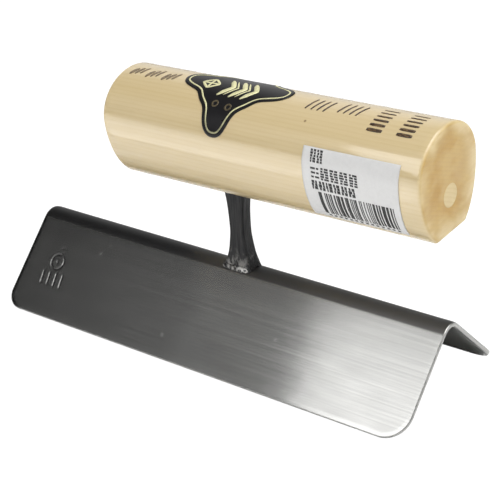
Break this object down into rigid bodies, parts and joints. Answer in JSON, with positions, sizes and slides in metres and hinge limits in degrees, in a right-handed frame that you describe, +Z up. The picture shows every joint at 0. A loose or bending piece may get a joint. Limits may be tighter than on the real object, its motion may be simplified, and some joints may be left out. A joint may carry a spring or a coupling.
{
  "type": "concrete arris edging trowel",
  "caption": "V-shaped steel edging trowel with a rounded ridge, a waisted forged neck and a wooden bar handle in line with the blade.",
  "frame": {"origin": "on the ground under the middle of the blade, halfway along the ridge and halfway between the two wings", "axes": "+X along the ridge of the blade towards the handle end with the plug, +Z up, -Y the side that carries the price label"},
  "size_m": [0.15, 0.052, 0.0824],
  "materials": {
    "blade_steel": "brushed along the ridge",
    "forged_steel": "black forged scale",
    "weld_metal": "bare weld metal",
    "handle_wood": "pale wood under clear lacquer",
    "plug_wood": "end grain, sanded",
    "rod_steel": "drawn",
    "crest_film": "glossy black with a gold line",
    "label_paper": "coated paper"
  },
  "bodies": {
    "root": {"blade": "blade_steel", "neck": "forged_steel", "weld_bead_near": "weld_metal", "weld_bead_far": "weld_metal", "handle": "handle_wood", "locking_rod": "rod_steel", "end_plug": "plug_wood", "crest_label": "crest_film", "price_label": "label_paper"}
  },
  "joints": []
}
